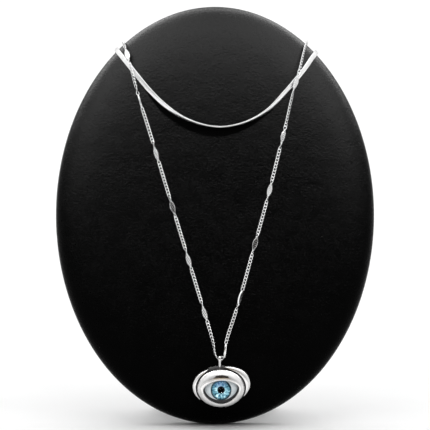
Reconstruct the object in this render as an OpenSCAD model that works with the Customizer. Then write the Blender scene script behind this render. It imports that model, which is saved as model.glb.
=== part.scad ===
// Two-strand necklace with an eye pendant, hanging on a padded oval display board.
// Millimetres, +Z up, the board's face towards -Y, the origin under the middle of the whole.

/* [Board] */
// Width of the oval board
board_w = 140; // [137:0.5:150]
// Height of the oval board, along its own face
board_h = 183.5; // [180:0.5:196]
// Depth of the straight side wall behind the padded front
wall_out = 5; // [4:0.5:7]
// Rise of the padded front above the side wall
crown = 19; // [15:0.5:22]
// Lean of the board back from upright, in degrees
lean = 10; // [8:1:12]

/* [Leg and peg] */
// Height up the board's back where the leg starts
leg_top = 52; // [44:1:54]
// Angle between the leg and upright, in degrees
leg_angle = 26; // [20:1:30]
// Thickness of the leg
leg_t = 3.5; // [2.5:0.5:5]
// Width of the leg at its top
leg_top_w = 30; // [24:1:36]
// Width of the leg at its foot
leg_foot_w = 52; // [40:1:56]
// Diameter of the peg on the back
peg_d = 3; // [2:0.5:4]

/* [Chains] */
// Width of the flat snake chain
flat_w = 2.15; // [1.8:0.05:2.4]
// Thickness of the flat snake chain
flat_t = 0.85; // [0.6:0.05:1]
// Diameter that the curb chain's links fill
curb_d = 1.2; // [1:0.05:1.3]
// Distance along the chain from one station to the next
station_pitch = 24.45; // [24:0.05:24.6]
// Length of a station over its end eyes
station_l = 6.8; // [6:0.1:7.5]
// Width of a station at its middle
station_w = 2.15; // [1.8:0.05:2.4]
// Thickness of a station over its ribs
station_t = 0.75; // [0.6:0.05:0.9]

/* [Pendant] */
// Width of the back shell
shell_w = 25.9; // [25:0.1:26.5]
// Height of the back shell
shell_h = 17; // [16.6:0.1:17.4]
// Width of the front eyelid form
lid_w = 20.9; // [20.5:0.1:21.3]
// Height of the front eyelid form
lid_h = 16.8; // [16.4:0.1:17.1]
// Width of the almond opening
eye_w = 15.8; // [15.4:0.1:16]
// Height of the almond opening
eye_h = 10.2; // [10:0.1:10.4]
// Diameter of the iris
iris_d = 9.1; // [8.6:0.1:9.2]
// Diameter of the pupil
pupil_d = 3.2; // [2.6:0.1:4]
// Width of the bail ring's band
bail_w = 1.1; // [0.9:0.05:1.2]

/* [Hidden] */
station_count_left = 10;
station_count_right = 11;
station_names = [for (i = [1 : station_count_left + station_count_right]) str("station_", i < 10 ? "0" : "", i)];

half_w = board_w / 2;
half_h = board_h / 2;
// Roundness of the padded front: 2 is an ellipse, more is fuller near the edge
pad_power = 2.5;
// How far the board's lowest edge is cut flat to stand
foot_cut = 0.6;
// Place of the board's lower back edge on the Y axis
board_y = -7.15;
// Clearance between pieces that touch on the real object
clear = 0.1;

// Heights on the board's back: the peg, and the clasp ring that hangs up against it
peg_up = 60;
peg_l = 3.6;
peg_head_d = 5.6;
peg_head_t = 0.8;
ring_r = 3.4;
ring_wire_r = 0.5;
ring_back = 1.35;
bar_reach = 8;
bar_lane = 1.35;
bar_slant = 21.5;

// The pendant hangs from this point of the board: across, up and out from its back plane
bail_x = 2.1;
bail_up = 28.5;
bail_out = 23.6;
first_left = 21.8;
first_right = 4.9;

// Depths in the pendant, forward of the hanging plane
shell_back = -2.6;
groove_floor = -1.3;
crescent_top = 1.3;
lid_front = 4.85;
eye_front = 4.1;
eye_ball_r = 14;
iris_deep = 2.3;
iris_t = 0.45;
cornea_front = 4.3;
// Centres of the outlines, across and up from the bail
shell_mid = [0.7, -11.6];
lid_mid = [0.47, -12.83];
eye_mid = [0.6, -12.97];
iris_mid = [0.58, -13.3];
// Their tilts in degrees, and their fullness, where 2 is an ellipse
shell_tilt = 6;
shell_power = 2.12;
lid_tilt = 1;
lid_power = 2;
eye_tilt = 4;
eye_power = 1.78;
// Share of the opening's height above its middle, and how far the eye goes on up behind the lid
eye_share = 0.397;
eye_tuck = 0.7;
around = 60;

// General functions
function unit(v) = v / norm(v);
function mix(a, b, t) = a * (1 - t) + b * t;
function signed_power(v, p) = sign(v) * pow(abs(v), p);

// From the board's frame (across, up, out) to the part's own
function stand(p) = [
    p.x,
    board_y + p.y * sin(lean) - p.z * cos(lean),
    p.y * cos(lean) + p.z * sin(lean) - foot_cut];

// The padded front: distance out at a share r of the way from the middle to the edge
function reach(x, up) = norm([x / half_w, (up - half_h) / half_h]);
function pad_out(r) = wall_out + crown * pow(1 - pow(r, pad_power), 1 / pad_power);
function pad_fall(r) = crown * pow(1 - pow(r, pad_power), 1 / pad_power - 1) * pow(r, pad_power - 1);
function pad_normal(x, up) =
    let (r = reach(x, up), f = pad_fall(r) / r)
    unit([f * x / pow(half_w, 2), f * (up - half_h) / pow(half_h, 2), 1]);

// Route rows: a point in the board's frame, the direction away from the board there, and the band's roll
function on_pad(x, up, gap, roll = 0) =
    let (n = pad_normal(x, up))
    concat([x, up, pad_out(reach(x, up))] + gap * n, n, [roll]);
function on_wall(angle, out, gap, roll = 0) =
    let (n = unit([cos(angle) / half_w, sin(angle) / half_h, 0]))
    concat([half_w * cos(angle), half_h + half_h * sin(angle), out] + gap * n, n, [roll]);
function on_rim(angle, r, gap, roll = 0) =
    on_pad(half_w * r * cos(angle), half_h + half_h * r * sin(angle), gap, roll);
function on_back(x, up, gap, roll = 0) = [x, up, -gap, 0, 0, -1, roll];
function hanging(x, up, out) = [x, up, out, 0, 0, 1, 0];

// A smooth curve through route rows, whatever their spacing
function place(row) = [row[0], row[1], row[2]];
function stride(rows, i) = norm(place(rows[i + 1]) - place(rows[i]));
function slope(rows, i) =
    i == 0 ? (rows[1] - rows[0]) / stride(rows, 0)
    : i == len(rows) - 1 ? (rows[i] - rows[i - 1]) / stride(rows, i - 1)
    : let (a = stride(rows, i - 1), b = stride(rows, i))
      ((rows[i] - rows[i - 1]) * b / a + (rows[i + 1] - rows[i]) * a / b) / (a + b);
function between(rows, i, t) =
    let (d = stride(rows, i), t2 = t * t, t3 = t2 * t)
    rows[i] * (2 * t3 - 3 * t2 + 1) + slope(rows, i) * d * (t3 - 2 * t2 + t)
    + rows[i + 1] * (3 * t2 - 2 * t3) + slope(rows, i + 1) * d * (t3 - t2);
function curve(rows, steps) = concat(
    [for (i = [0 : len(rows) - 2], j = [0 : steps - 1]) between(rows, i, j / steps)],
    [rows[len(rows) - 1]]);
function lengths(rows) = [
    for (i = 0, s = 0; i < len(rows); s = s + (i < len(rows) - 1 ? stride(rows, i) : 0), i = i + 1) s];
function mirrored(row) = [-row[0], row[1], row[2], -row[3], row[4], row[5], row[6]];
function reversed(rows) = [for (i = [len(rows) - 1 : -1 : 0]) rows[i]];

// The long chain's route, from the bail outwards, over the board's edge and down its back
long_hidden = [
    on_wall(124.6, 4.2, 0.9), on_wall(124.6, 0.5, 0.9), on_back(-39, 164.5, 1.6), on_back(-36, 158, 1),
    on_back(-30.5, 144, 0.8), on_back(-23.5, 126, 0.8), on_back(-16.5, 108, 0.8), on_back(-9.5, 90, 0.8),
    on_back(-5, 78.2, 0.9), on_back(-1.71, 69.33, 1.35)];
long_left = concat([
    hanging(1.3, 28.6, 23.6), hanging(0.55, 29.55, 23.6), hanging(-0.9, 36, 23.8), hanging(-4.4, 48.3, 24.1),
    on_pad(-8.1, 60.5, 1), on_pad(-11.7, 72.5, 1), on_pad(-19, 96.5, 0.9), on_pad(-25.9, 119.3, 1.1),
    on_pad(-29.6, 131.5, 1.1), on_pad(-32.9, 142.1, 1.3), on_pad(-34.8, 149, 1.5), on_pad(-36.4, 155.8, 2.1),
    on_pad(-37.7, 160.8, 1.8), on_pad(-39.1, 165.3, 1)],
    long_hidden);
long_right = concat([
    hanging(2.9, 28.6, 23.6), hanging(3.65, 29.55, 23.6), hanging(4.9, 36, 23.8), hanging(8.8, 48.3, 24.1),
    on_pad(12.4, 60.5, 1.35), on_pad(15.8, 72.9, 1), on_pad(22.3, 96.5, 0.9), on_pad(28, 119.3, 1.1),
    on_pad(31, 131.5, 1.25), on_pad(33.3, 142.1, 1.3), on_pad(34.9, 149, 2.1), on_pad(36.1, 153.1, 2.6),
    on_pad(37.8, 160.1, 1.8), on_pad(39.1, 165.3, 1)],
    [for (row = long_hidden) mirrored(row)]);

// The flat chain's route: face to the board at its sides, on its edge at the bottom of the curve.
// Its ends go over the board's edge at these angles, the right one as if mirrored to the left.
flat_edge_left = 127.75;
flat_edge_right = 129;
function flat_hidden(edge) = [
    on_rim(edge, 0.993, 0.75, 2), on_wall(edge, 4, 0.75), on_wall(edge, 0.8, 0.7),
    on_back(-42.6, 161.6, 0.9), on_back(-39.5, 155.5, 0.7),
    on_back(-33.5, 141.5, 0.7), on_back(-26.5, 125, 0.7), on_back(-19.5, 108, 0.7),
    on_back(-12.5, 90, 0.7), on_back(-7.8, 77.5, 0.9), on_back(-4.22, 68.34, 1.35)];
flat_left = concat([
    on_pad(-5.3, 131.5, 1.3, 90), on_pad(-14.3, 134.8, 1.3, 80), on_pad(-21.3, 139.3, 1.15, 50),
    on_pad(-27.9, 145.5, 0.9, 24), on_pad(-33.5, 152.1, 0.8, 12), on_pad(-37.3, 157.1, 0.75, 8),
    on_pad(-40.7, 161.4, 0.7, 4)],
    flat_hidden(flat_edge_left));
flat_right = concat([
    on_pad(9.2, 131.5, 1.3, 90), on_pad(17.2, 134.5, 1.3, 86), on_pad(23.6, 138.8, 1.3, 72),
    on_pad(29.6, 145.3, 1.2, 50), on_pad(35.8, 151.5, 1.05, 28), on_pad(39.6, 156.5, 0.9, 16),
    on_pad(42.2, 160.5, 0.75, 8)],
    [for (row = flat_hidden(flat_edge_right)) mirrored(row)]);

long_route = concat(reversed(long_left), [hanging(bail_x, bail_up, bail_out)], long_right);
flat_route = concat(reversed(flat_left), [on_pad(2.2, 130.6, 1.3, 90)], flat_right);

long_steps = 8;
long_curve = curve(long_route, long_steps);
long_lengths = lengths(long_curve);
long_total = long_lengths[len(long_lengths) - 1];
bail_at = long_lengths[len(long_left) * long_steps];
long_tables = [for (k = [0 : 5]) [for (i = [0 : len(long_curve) - 1]) [long_lengths[i], long_curve[i][k]]]];
function long_at(s) = [for (k = [0 : 5]) lookup(s, long_tables[k])];

// A frame on a route: the point, the way along, the way across and the way out
function frame_at(here, before, after) =
    let (
        along = unit(place(after) - place(before)),
        n = [here[3], here[4], here[5]],
        out = unit(n - along * (n * along)))
    [place(here), along, cross(out, along), out];
function long_frame(s) = frame_at(long_at(s), long_at(s - 0.2), long_at(s + 0.2));

// Where the stations' middles lie along the long chain, and how each is turned about it.
// From the board's edge on, all are a little off the pitch, so that each side's first lies well there.
edge_left = 5;
edge_right = 6;
edge_slip_left = 2.2;
edge_slip_right = 3.4;
station_stops = concat(
    [for (i = [station_count_left - 1 : -1 : 0])
        bail_at - first_left - i * station_pitch + (i < edge_left ? 0 : edge_slip_left)],
    [for (i = [0 : station_count_right - 1])
        bail_at + first_right + i * station_pitch + (i < edge_right ? 0 : edge_slip_right)]);
station_turns = [0, 0, 0, 0, 20, 85, 30, 0, 20, 25, 82, 60, 5, 15, 45, 30, 10, 0, 0, 0, 0];

// A skin over a stack of rings that turn anticlockwise about the way they are stacked
function skin_faces(count, size, closed) = concat(
    closed ? [] : [[for (j = [0 : size - 1]) j]],
    closed ? [] : [[for (j = [size - 1 : -1 : 0]) (count - 1) * size + j]],
    [for (i = [0 : count - (closed ? 1 : 2)], j = [0 : size - 1])
        let (next = (j + 1) % size, up = (i + 1) % count)
        [i * size + j, up * size + j, up * size + next, i * size + next]]);

module skin(rings, closed = false) {
    polyhedron(
        points = [for (ring = rings, p = ring) p],
        faces = skin_faces(len(rings), len(rings[0]), closed),
        convexity = 6);
}

module on_stand() {
    translate([0, board_y, -foot_cut])
        rotate([-lean, 0, 0])
            children();
}

module at_bail() {
    translate(stand([bail_x, bail_up, bail_out])) children();
}

// The padded board: a flat back with a small round, a straight wall and a full front
back_round = 1.5;
front_rows = 15;
board_around = 72;
board_rows = concat(
    [[half_w - back_round, half_h - back_round, 0],
     [half_w - 0.3 * back_round, half_h - 0.3 * back_round, 0.3 * back_round],
     [half_w, half_h, back_round]],
    [for (i = [0 : front_rows - 1])
        let (t = 90 * (1 - pow(1 - i / front_rows, 1.2)), r = pow(cos(t), 2 / pad_power))
        [half_w * r, half_h * r, wall_out + crown * pow(sin(t), 2 / pad_power)]]);

function floored(p) = [p.x, p.y, max(p.z, 0)];

module display_board() {
    color("#111111")
        skin([for (row = board_rows)
            [for (j = [0 : board_around - 1])
                let (a = 360 * j / board_around)
                floored(stand([row[0] * cos(a), half_h + row[1] * sin(a), row[2]]))]]);
}

module leg_outline(top_w, foot_w, l) {
    polygon([[-top_w / 2, 0], [top_w / 2, 0], [foot_w / 2, -l], [-foot_w / 2, -l]]);
}

module easel_leg() {
    hinge = stand([0, leg_top, 0]);
    leg_l = hinge.z / cos(leg_angle) + 4;
    color("#1a1a1a")
        difference() {
            translate(hinge)
                rotate([leg_angle, 0, 0])
                    rotate([90, 0, 0])
                        translate([0, 0, -leg_t])
                            linear_extrude(leg_t)
                                leg_outline(leg_top_w, leg_foot_w, leg_l);
            translate([-leg_foot_w, -leg_l, -2 * leg_l])
                cube([2 * leg_foot_w, 3 * leg_l, 2 * leg_l]);
            on_stand()
                translate([-leg_foot_w, -leg_l + clear, -leg_l])
                    cube([2 * leg_foot_w, leg_l, 3 * leg_l]);
        }
}

module clasp_peg() {
    flange_d = peg_head_d;
    flange_t = 0.5;
    color("#2b2b2d")
        on_stand()
            translate([0, clear, peg_up])
                rotate([-90, 0, 0])
                    union() {
                        cylinder(d = flange_d, h = flange_t, $fn = 48);
                        cylinder(d = peg_d, h = peg_l, $fn = 48);
                        translate([0, 0, peg_l - peg_head_t])
                            cylinder(d = peg_head_d, h = peg_head_t, $fn = 48);
                    }
}

// One side of the clasp: a neck and a bar that both strands end against
module end_bar() {
    bar_l = 1.6;
    bar_w = 2 * bar_lane + flat_w;
    neck_w = 1;
    translate([-neck_w / 2, -ring_wire_r, ring_r - ring_wire_r])
        cube([neck_w, 2 * ring_wire_r, bar_reach - bar_l - ring_r + 2 * ring_wire_r]);
    translate([-bar_w / 2, -ring_wire_r, bar_reach - bar_l])
        cube([bar_w, 2 * ring_wire_r, bar_l]);
}

module clasp() {
    ring_up = peg_up - peg_d / 2 - clear + ring_r - ring_wire_r;
    color("#c9c9cb")
        on_stand()
            translate([0, ring_back, ring_up]) {
                rotate([90, 0, 0])
                    rotate_extrude($fn = 64)
                        translate([ring_r, 0])
                            circle(r = ring_wire_r, $fn = 24);
                for (side = [-1, 1])
                    rotate([0, side * bar_slant, 0])
                        end_bar();
            }
}

// The flat chain's section: a band with its corners taken off, wide across and thin outwards
function flat_section() = [
    for (side = [1, -1], p = [[0.5, -0.24], [0.5, 0.24], [0.38, 0.5], [-0.38, 0.5]])
        side * [p.x * flat_w, p.y * flat_t]];

module flat_chain() {
    steps = 3;
    path = curve(flat_route, steps);
    last = len(path) - 1;
    color("#dcdcde")
        skin([for (i = [0 : last])
            let (
                f = frame_at(path[i], path[max(i - 1, 0)], path[min(i + 1, last)]),
                roll = path[i][6],
                wide = f[2] * cos(roll) + f[3] * sin(roll),
                thin = f[3] * cos(roll) - f[2] * sin(roll))
            [for (p = flat_section()) stand(f[0] + wide * p.x + thin * p.y)]]);
}

// A stretch of curb chain, as the tube that its links fill
curb_sides = 8;
function curb_ring(s) =
    let (f = long_frame(s))
    [for (j = [0 : curb_sides - 1])
        let (a = 360 * j / curb_sides)
        stand(f[0] + (f[2] * cos(a) + f[3] * sin(a)) * curb_d / 2)];
function stops(from, to, step) =
    let (n = max(1, ceil((to - from) / step)))
    [for (i = [0 : n]) from + (to - from) * i / n];

// It goes in long steps, and in fine ones round the bend at the bail
module curb_stretch(from, to) {
    bend = 3.2;
    long_step = 3;
    fine_step = 0.4;
    bend_from = bail_at - bend;
    if (from < bail_at && bail_at < to)
        skin([
            for (s = concat(stops(from, bend_from, long_step), stops(bend_from + fine_step, to, fine_step)))
                curb_ring(s)]);
    else
        skin([for (s = stops(from, to, long_step)) curb_ring(s)]);
}

// The stretches between stations, from the one numbered first to the one numbered last
module curb_chain(first, last) {
    ends = concat([0], station_stops, [long_total]);
    half = station_l / 2 + clear;
    for (i = [first : last])
        curb_stretch(
            ends[i] + (i == 0 ? 0 : half),
            ends[i + 1] - (i == len(station_stops) ? 0 : half));
}

module curb_chain_left() {
    color("#cfcfd2") curb_chain(0, station_count_left);
}

module curb_chain_right() {
    color("#cfcfd2") curb_chain(station_count_left + 1, station_count_left + station_count_right);
}

// A station: a marquise plate along Z with an eye at each end and slanting ribs on both faces
module station_outline() {
    eye_r = 0.45;
    point_l = station_l - eye_r;
    arc_r = (pow(point_l / 2, 2) + pow(station_w / 2, 2)) / station_w;
    intersection() {
        translate([arc_r - station_w / 2, 0]) circle(r = arc_r, $fn = 120);
        translate([station_w / 2 - arc_r, 0]) circle(r = arc_r, $fn = 120);
    }
    for (end = [-1, 1])
        translate([0, end * (station_l / 2 - eye_r)]) circle(r = eye_r, $fn = 24);
}

module station() {
    rib_count = 5;
    rib_pitch = 0.95;
    rib_w = 0.4;
    core_t = station_t * 0.6;
    rotate([90, 0, 0])
        intersection() {
            translate([0, 0, -station_t / 2])
                linear_extrude(station_t)
                    station_outline();
            union() {
                translate([-station_w, -station_l, -core_t / 2])
                    cube([2 * station_w, 2 * station_l, core_t]);
                for (i = [0 : rib_count - 1])
                    translate([0, (i - (rib_count - 1) / 2) * rib_pitch, 0])
                        rotate([0, 0, -38])
                            cube([2 * station_w, rib_w, 2 * station_t], center = true);
            }
        }
}

module placed_station(i) {
    f = long_frame(station_stops[i]);
    turn = station_turns[i];
    wide = f[2] * cos(turn) + f[3] * sin(turn);
    thin = cross(f[1], wide);
    at = f[0];
    color("#d2d2d4")
        on_stand()
            multmatrix([
                [wide.x, thin.x, f[1].x, at.x],
                [-wide.z, -thin.z, -f[1].z, -at.z],
                [wide.y, thin.y, f[1].y, at.y],
                [0, 0, 0, 1]])
                station();
}

// Outlines in the pendant: a point at an angle on a tilted oval, [across, up] from the bail
function oval(w, above, below, mid, tilt, power, angle) =
    let (
        x = w / 2 * signed_power(cos(angle), 2 / power),
        z = (sin(angle) < 0 ? below : above) * signed_power(sin(angle), 2 / power))
    mid + [x * cos(tilt) - z * sin(tilt), x * sin(tilt) + z * cos(tilt)];
function shell_line(angle) =
    oval(shell_w, shell_h / 2, shell_h / 2, shell_mid, shell_tilt, shell_power, angle);
function lid_line(angle) = oval(lid_w, lid_h / 2, lid_h / 2, lid_mid, lid_tilt, lid_power, angle);
function eye_line(angle, less = 0, tuck = 0) =
    oval(
        eye_w - 2 * less, eye_h * eye_share + tuck - less, eye_h * (1 - eye_share) - less,
        eye_mid, eye_tilt, eye_power, angle);
// How open the groove between shell and lid is to the outline, from 0 at the sides to 1 at the top
open_angle = 96;
open_half = 19;
function groove_open(angle) = exp(-pow((angle - open_angle) / open_half, 4));
// How far the shell stands out past the lid, which is below 0 where the lid covers it
function shell_out(angle) = unit(shell_line(angle) - lid_mid);
function lid_reach(way) = 1 / norm([2 * way.x / lid_w, 2 * way.y / lid_h]);
function shell_room(angle) = norm(shell_line(angle) - lid_mid) - lid_reach(shell_out(angle));
// The crescent between the shell's outline and the groove: its width, and its share of full height
function crescent_w(angle) = max(0.1, (0.92 * shell_room(angle) - 0.35) * (1 - groove_open(angle)));
function crescent_share(angle) = min(1, (crescent_w(angle) - 0.1) / 0.4);
function groove_line(angle) = shell_line(angle) - crescent_w(angle) * shell_out(angle);

function deep(p, d) = [p.x, -d, p.y];
function angles() = [for (j = [0 : around - 1]) 360 * j / around];

// The shell's crescents, as [share of the way in to the groove, depth]
crescent_rows = [[0, -0.5], [0.12, 0.25], [0.35, 0.85], [0.65, 1.2], [1, crescent_top]];

module back_shell() {
    color("#c6c6c9")
        at_bail()
            skin(concat(
                [for (row = [[0.86, shell_back], [0.95, shell_back + 0.3], [1, shell_back + 0.9]])
                    [for (a = angles()) deep(mix(shell_mid, shell_line(a), row[0]), row[1])]],
                [for (row = crescent_rows)
                    [for (a = angles())
                        deep(
                            mix(shell_line(a), groove_line(a), row[0]),
                            mix(groove_floor + 0.1 * (row[0] - 1), row[1], crescent_share(a)))]],
                [for (row = [[0.04, groove_floor], [0.9, groove_floor]])
                    [for (a = angles()) deep(mix(groove_line(a), lid_mid, row[0]), row[1])]]));
}

// The lid's form, as [share of the way in from its outline to the opening, depth]
lid_rows = [
    [0.04, groove_floor + clear], [0, -0.9], [0, 1.7], [0.02, 2.25], [0.137, 2.97], [0.315, 3.79],
    [0.504, 4.35], [0.705, 4.7], [0.883, lid_front], [0.947, 4.8], [1, 4.56]];
// The opening's inner side, as [inset from the opening, depth, how far it goes on up behind the lid]
seat_rows = [
    [0.02, 3.7, 0], [0.34, 3.5, eye_tuck], [0.36, 2.4, eye_tuck],
    [0.36, groove_floor + clear + 0.3, eye_tuck]];
// How much less the lid stands forward at the eye's corners
corner_fall = 0.22;
function lid_depth(d, a) = d > 0 ? d * (1 - corner_fall * pow(cos(a), 2)) : d;

module eyelid_dome() {
    peg_r = 0.3;
    color("#d8d8da")
        at_bail() {
            skin(concat(
                [for (row = lid_rows)
                    [for (a = angles()) deep(mix(lid_line(a), eye_line(a), row[0]), lid_depth(row[1], a))]],
                [for (row = seat_rows)
                    [for (a = angles()) deep(eye_line(a, row[0], row[2]), lid_depth(row[1], a))]],
                [[for (a = angles()) deep(mix(lid_line(a), eye_line(a), 0.8), groove_floor + clear)]]),
                closed = true);
            translate([0, 0, bail_base - 0.9]) cylinder(r = peg_r, h = 1.1, $fn = 24);
            bail();
        }
}

// The bail: an upright ring, wide at its top and narrow at its foot, open across for the chain
bail_top = 1.6;
bail_base = -4;
bail_top_r = 1.7;
bail_base_r = 0.95;
bail_wire = 0.65;

module bail_outline(less) {
    hull() {
        translate([0, bail_base + bail_base_r]) circle(r = bail_base_r - less, $fn = 32);
        translate([0, bail_top - bail_top_r]) circle(r = bail_top_r - less, $fn = 32);
    }
}

module bail() {
    rotate([90, 0, 90])
        translate([0, 0, -bail_w / 2])
            linear_extrude(bail_w)
                difference() {
                    bail_outline(0);
                    bail_outline(bail_wire);
                }
}

function white_line(angle) = eye_line(angle, white_inset, eye_tuck);
function ball_depth(r) = eye_front - (eye_ball_r - sqrt(pow(eye_ball_r, 2) - pow(r, 2)));
pocket_r = iris_d / 2 + 0.06;
white_inset = 0.46;

module eye_white() {
    color("#c8d0d4")
        at_bail()
            skin(concat(
                [[for (a = angles()) deep(mix(white_line(a), iris_mid, 0.08), -1.1)],
                 [for (a = angles()) deep(white_line(a), -0.8)]],
                [for (share = [0, 0.35, 0.7, 1])
                    [for (a = angles())
                        let (p = mix(white_line(a), iris_mid + pocket_r * [cos(a), sin(a)], share))
                        deep(p, ball_depth(norm(p - iris_mid)))]],
                [[for (a = angles()) deep(iris_mid + pocket_r * [cos(a), sin(a)], iris_deep - 0.06)]]));
}

// Round pieces of the eye, from one depth forward to another
module eye_disc(r, from, to) {
    at_bail()
        translate([iris_mid.x, -from, iris_mid.y])
            rotate([90, 0, 0])
                cylinder(r = r, h = to - from, $fn = 96);
}

pupil_sink = 0.2;

module iris() {
    color("#6fb3c8")
        difference() {
            eye_disc(iris_d / 2, iris_deep, iris_deep + iris_t);
            eye_disc(pupil_d / 2 + 0.04, iris_deep + iris_t - pupil_sink, iris_deep + 2 * iris_t);
        }
}

module pupil() {
    color("#05070a")
        eye_disc(pupil_d / 2, iris_deep + iris_t - pupil_sink + 0.04, iris_deep + iris_t + 0.02);
}

module cornea() {
    base = iris_deep + iris_t + 0.08;
    edge_r = iris_d / 2 - 0.03;
    sag = cornea_front - ball_depth(edge_r);
    ball_r = (pow(edge_r, 2) + pow(sag, 2)) / (2 * sag);
    color("#dfeef2", 0.35)
        intersection() {
            eye_disc(edge_r, base, cornea_front + 1);
            at_bail()
                translate([iris_mid.x, ball_r - cornea_front, iris_mid.y])
                    sphere(r = ball_r, $fn = 160);
        }
}

display_board();
easel_leg();
clasp_peg();
clasp();
flat_chain();
curb_chain_left();
curb_chain_right();
for (i = [0 : len(station_names) - 1])
    placed_station(i);
eyelid_dome();
back_shell();
eye_white();
iris();
pupil();
cornea();
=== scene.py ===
import bisect
from math import asin, copysign, cos, exp, hypot, pi, radians, sin, sqrt, tan, tau

import bmesh
import bpy
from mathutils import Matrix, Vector


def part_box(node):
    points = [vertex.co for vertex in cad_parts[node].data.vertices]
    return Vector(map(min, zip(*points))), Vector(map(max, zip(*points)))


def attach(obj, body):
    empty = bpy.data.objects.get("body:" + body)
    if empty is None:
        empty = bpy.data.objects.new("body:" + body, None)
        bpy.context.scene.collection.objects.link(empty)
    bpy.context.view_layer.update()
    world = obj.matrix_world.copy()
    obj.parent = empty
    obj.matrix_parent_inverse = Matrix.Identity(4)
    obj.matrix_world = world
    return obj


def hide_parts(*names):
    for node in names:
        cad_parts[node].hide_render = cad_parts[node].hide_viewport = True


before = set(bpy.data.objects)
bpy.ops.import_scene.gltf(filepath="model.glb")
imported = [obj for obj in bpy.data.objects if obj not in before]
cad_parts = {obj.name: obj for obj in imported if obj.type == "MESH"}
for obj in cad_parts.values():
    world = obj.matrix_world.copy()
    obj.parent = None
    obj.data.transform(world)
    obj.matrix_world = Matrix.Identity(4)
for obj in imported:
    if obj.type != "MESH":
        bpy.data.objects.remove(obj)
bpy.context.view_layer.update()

# The looks of a two-strand necklace with an eye pendant, on a padded oval display board.
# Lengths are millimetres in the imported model's own frame. MM turns them into metres where a mesh is made.
MM = 0.001

# Board and leg
board_low, board_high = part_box("display_board")
HALF_W = (board_high.x - board_low.x) / 2 / MM
HALF_H = 91.75
WALL_OUT = 5
CROWN = 19
PAD_POWER = 2.5
LEAN = radians(10)
BOARD_Y = -7.15
FOOT_CUT = 0.6
BACK_ROUND = 1.5
LEG_TOP = 52
LEG_ANGLE = radians(26)
LEG_T = 3.5
LEG_TOP_W = 30
EASE = 0.6
LEG_FOOT_W = 52
CLEAR = 0.1

# Chains
FLAT_W = 2.15
FLAT_T = 0.85
STATION_PITCH = 24.45
STATION_L = 6.8
STATION_W = 2.15
STATION_T = 0.75
STATIONS_LEFT = 10
STATIONS_RIGHT = 11
FIRST_LEFT = 21.8
FIRST_RIGHT = 4.9
EDGE_LEFT = 5
EDGE_RIGHT = 6
EDGE_SLIP_LEFT = 2.2
EDGE_SLIP_RIGHT = 3.4
BAIL_PLACE = (2.1, 28.5, 23.6)
LONG_STEPS = 24
FLAT_STEPS = 24

# Pendant, as across and up from the bail, and depth forward of the hanging plane
SHELL_W = 25.9
SHELL_H = 17
LID_W = 20.9
LID_H = 16.8
EYE_W = 15.8
EYE_H = 10.2
IRIS_D = 9.1
PUPIL_D = 3.2
SHELL_MID = Vector((0.7, -11.6))
LID_MID = Vector((0.47, -12.83))
EYE_MID = Vector((0.6, -12.97))
IRIS_MID = Vector((0.58, -13.3))
SHELL_TILT = 6
SHELL_POWER = 2.12
LID_TILT = 1
LID_POWER = 2
EYE_TILT = 4
EYE_POWER = 1.78
EYE_SHARE = 0.397
EYE_TUCK = 0.7
WHITE_INSET = 0.46
GROOVE_FLOOR = -1.3
CRESCENT_TOP = 1.3
CRESCENT_LEAST = 0.1
LID_FRONT = 4.85
EYE_FRONT = 4.1
EYE_BALL_R = 14
IRIS_DEEP = 2.3
IRIS_T = 0.45
CORNEA_FRONT = 4.3
BAIL_W = 1.15
BAIL_FOOT_W = 0.95
OPEN_ANGLE = radians(96)
OPEN_HALF = radians(19)
BAIL_TOP = 1.6
BAIL_BASE = -4
BAIL_TOP_R = 1.7
BAIL_BASE_R = 0.95
BAIL_WIRE = 0.65


# General functions
def mix(a, b, t):
    return a * (1 - t) + b * t


def signed_power(v, p):
    return copysign(abs(v) ** p, v)


def smooth(low, high, v):
    t = min(max((v - low) / (high - low), 0), 1)
    return t * t * (3 - 2 * t)


def sag(ball_r, r):
    """How far a ball's surface falls behind its front at a radius."""
    return ball_r - sqrt(ball_r ** 2 - r ** 2)


def turns(count):
    """Even angles all the way round."""
    return [tau * j / count for j in range(count)]


def way_at(angle):
    return Vector((cos(angle), sin(angle)))


def stand(p):
    """From the board's frame (across, up, out) to the model's own."""
    return Vector((
        p[0],
        BOARD_Y + p[1] * sin(LEAN) - p[2] * cos(LEAN),
        p[1] * cos(LEAN) + p[2] * sin(LEAN) - FOOT_CUT))


# The padded front, as in the board's solid
def reach(x, up):
    return hypot(x / HALF_W, (up - HALF_H) / HALF_H)


def pad_out(r):
    return WALL_OUT + CROWN * (1 - r ** PAD_POWER) ** (1 / PAD_POWER)


def pad_normal(x, up):
    r = reach(x, up)
    fall = CROWN * (1 - r ** PAD_POWER) ** (1 / PAD_POWER - 1) * r ** (PAD_POWER - 2)
    return Vector((fall * x / HALF_W ** 2, fall * (up - HALF_H) / HALF_H ** 2, 1)).normalized()


# Route rows: a point in the board's frame, the way out from the board there, and the band's roll
def on_pad(x, up, gap, roll=0):
    n = pad_normal(x, up)
    return Vector((*(Vector((x, up, pad_out(reach(x, up)))) + gap * n), *n, roll))


def on_wall(degrees, out, gap, roll=0):
    a = radians(degrees)
    n = Vector((cos(a) / HALF_W, sin(a) / HALF_H, 0)).normalized()
    point = Vector((HALF_W * cos(a), HALF_H + HALF_H * sin(a), out)) + gap * n
    return Vector((*point, *n, roll))


def on_rim(degrees, r, gap, roll=0):
    a = radians(degrees)
    return on_pad(HALF_W * r * cos(a), HALF_H + HALF_H * r * sin(a), gap, roll)


def on_back(x, up, gap, roll=0):
    return Vector((x, up, -gap, 0, 0, -1, roll))


def hanging(x, up, out):
    return Vector((x, up, out, 0, 0, 1, 0))


def mirrored(rows):
    return [Vector((-row[0], row[1], row[2], -row[3], *row[4:])) for row in rows]


def each(place, *rows):
    return [place(*row) for row in rows]


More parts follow.
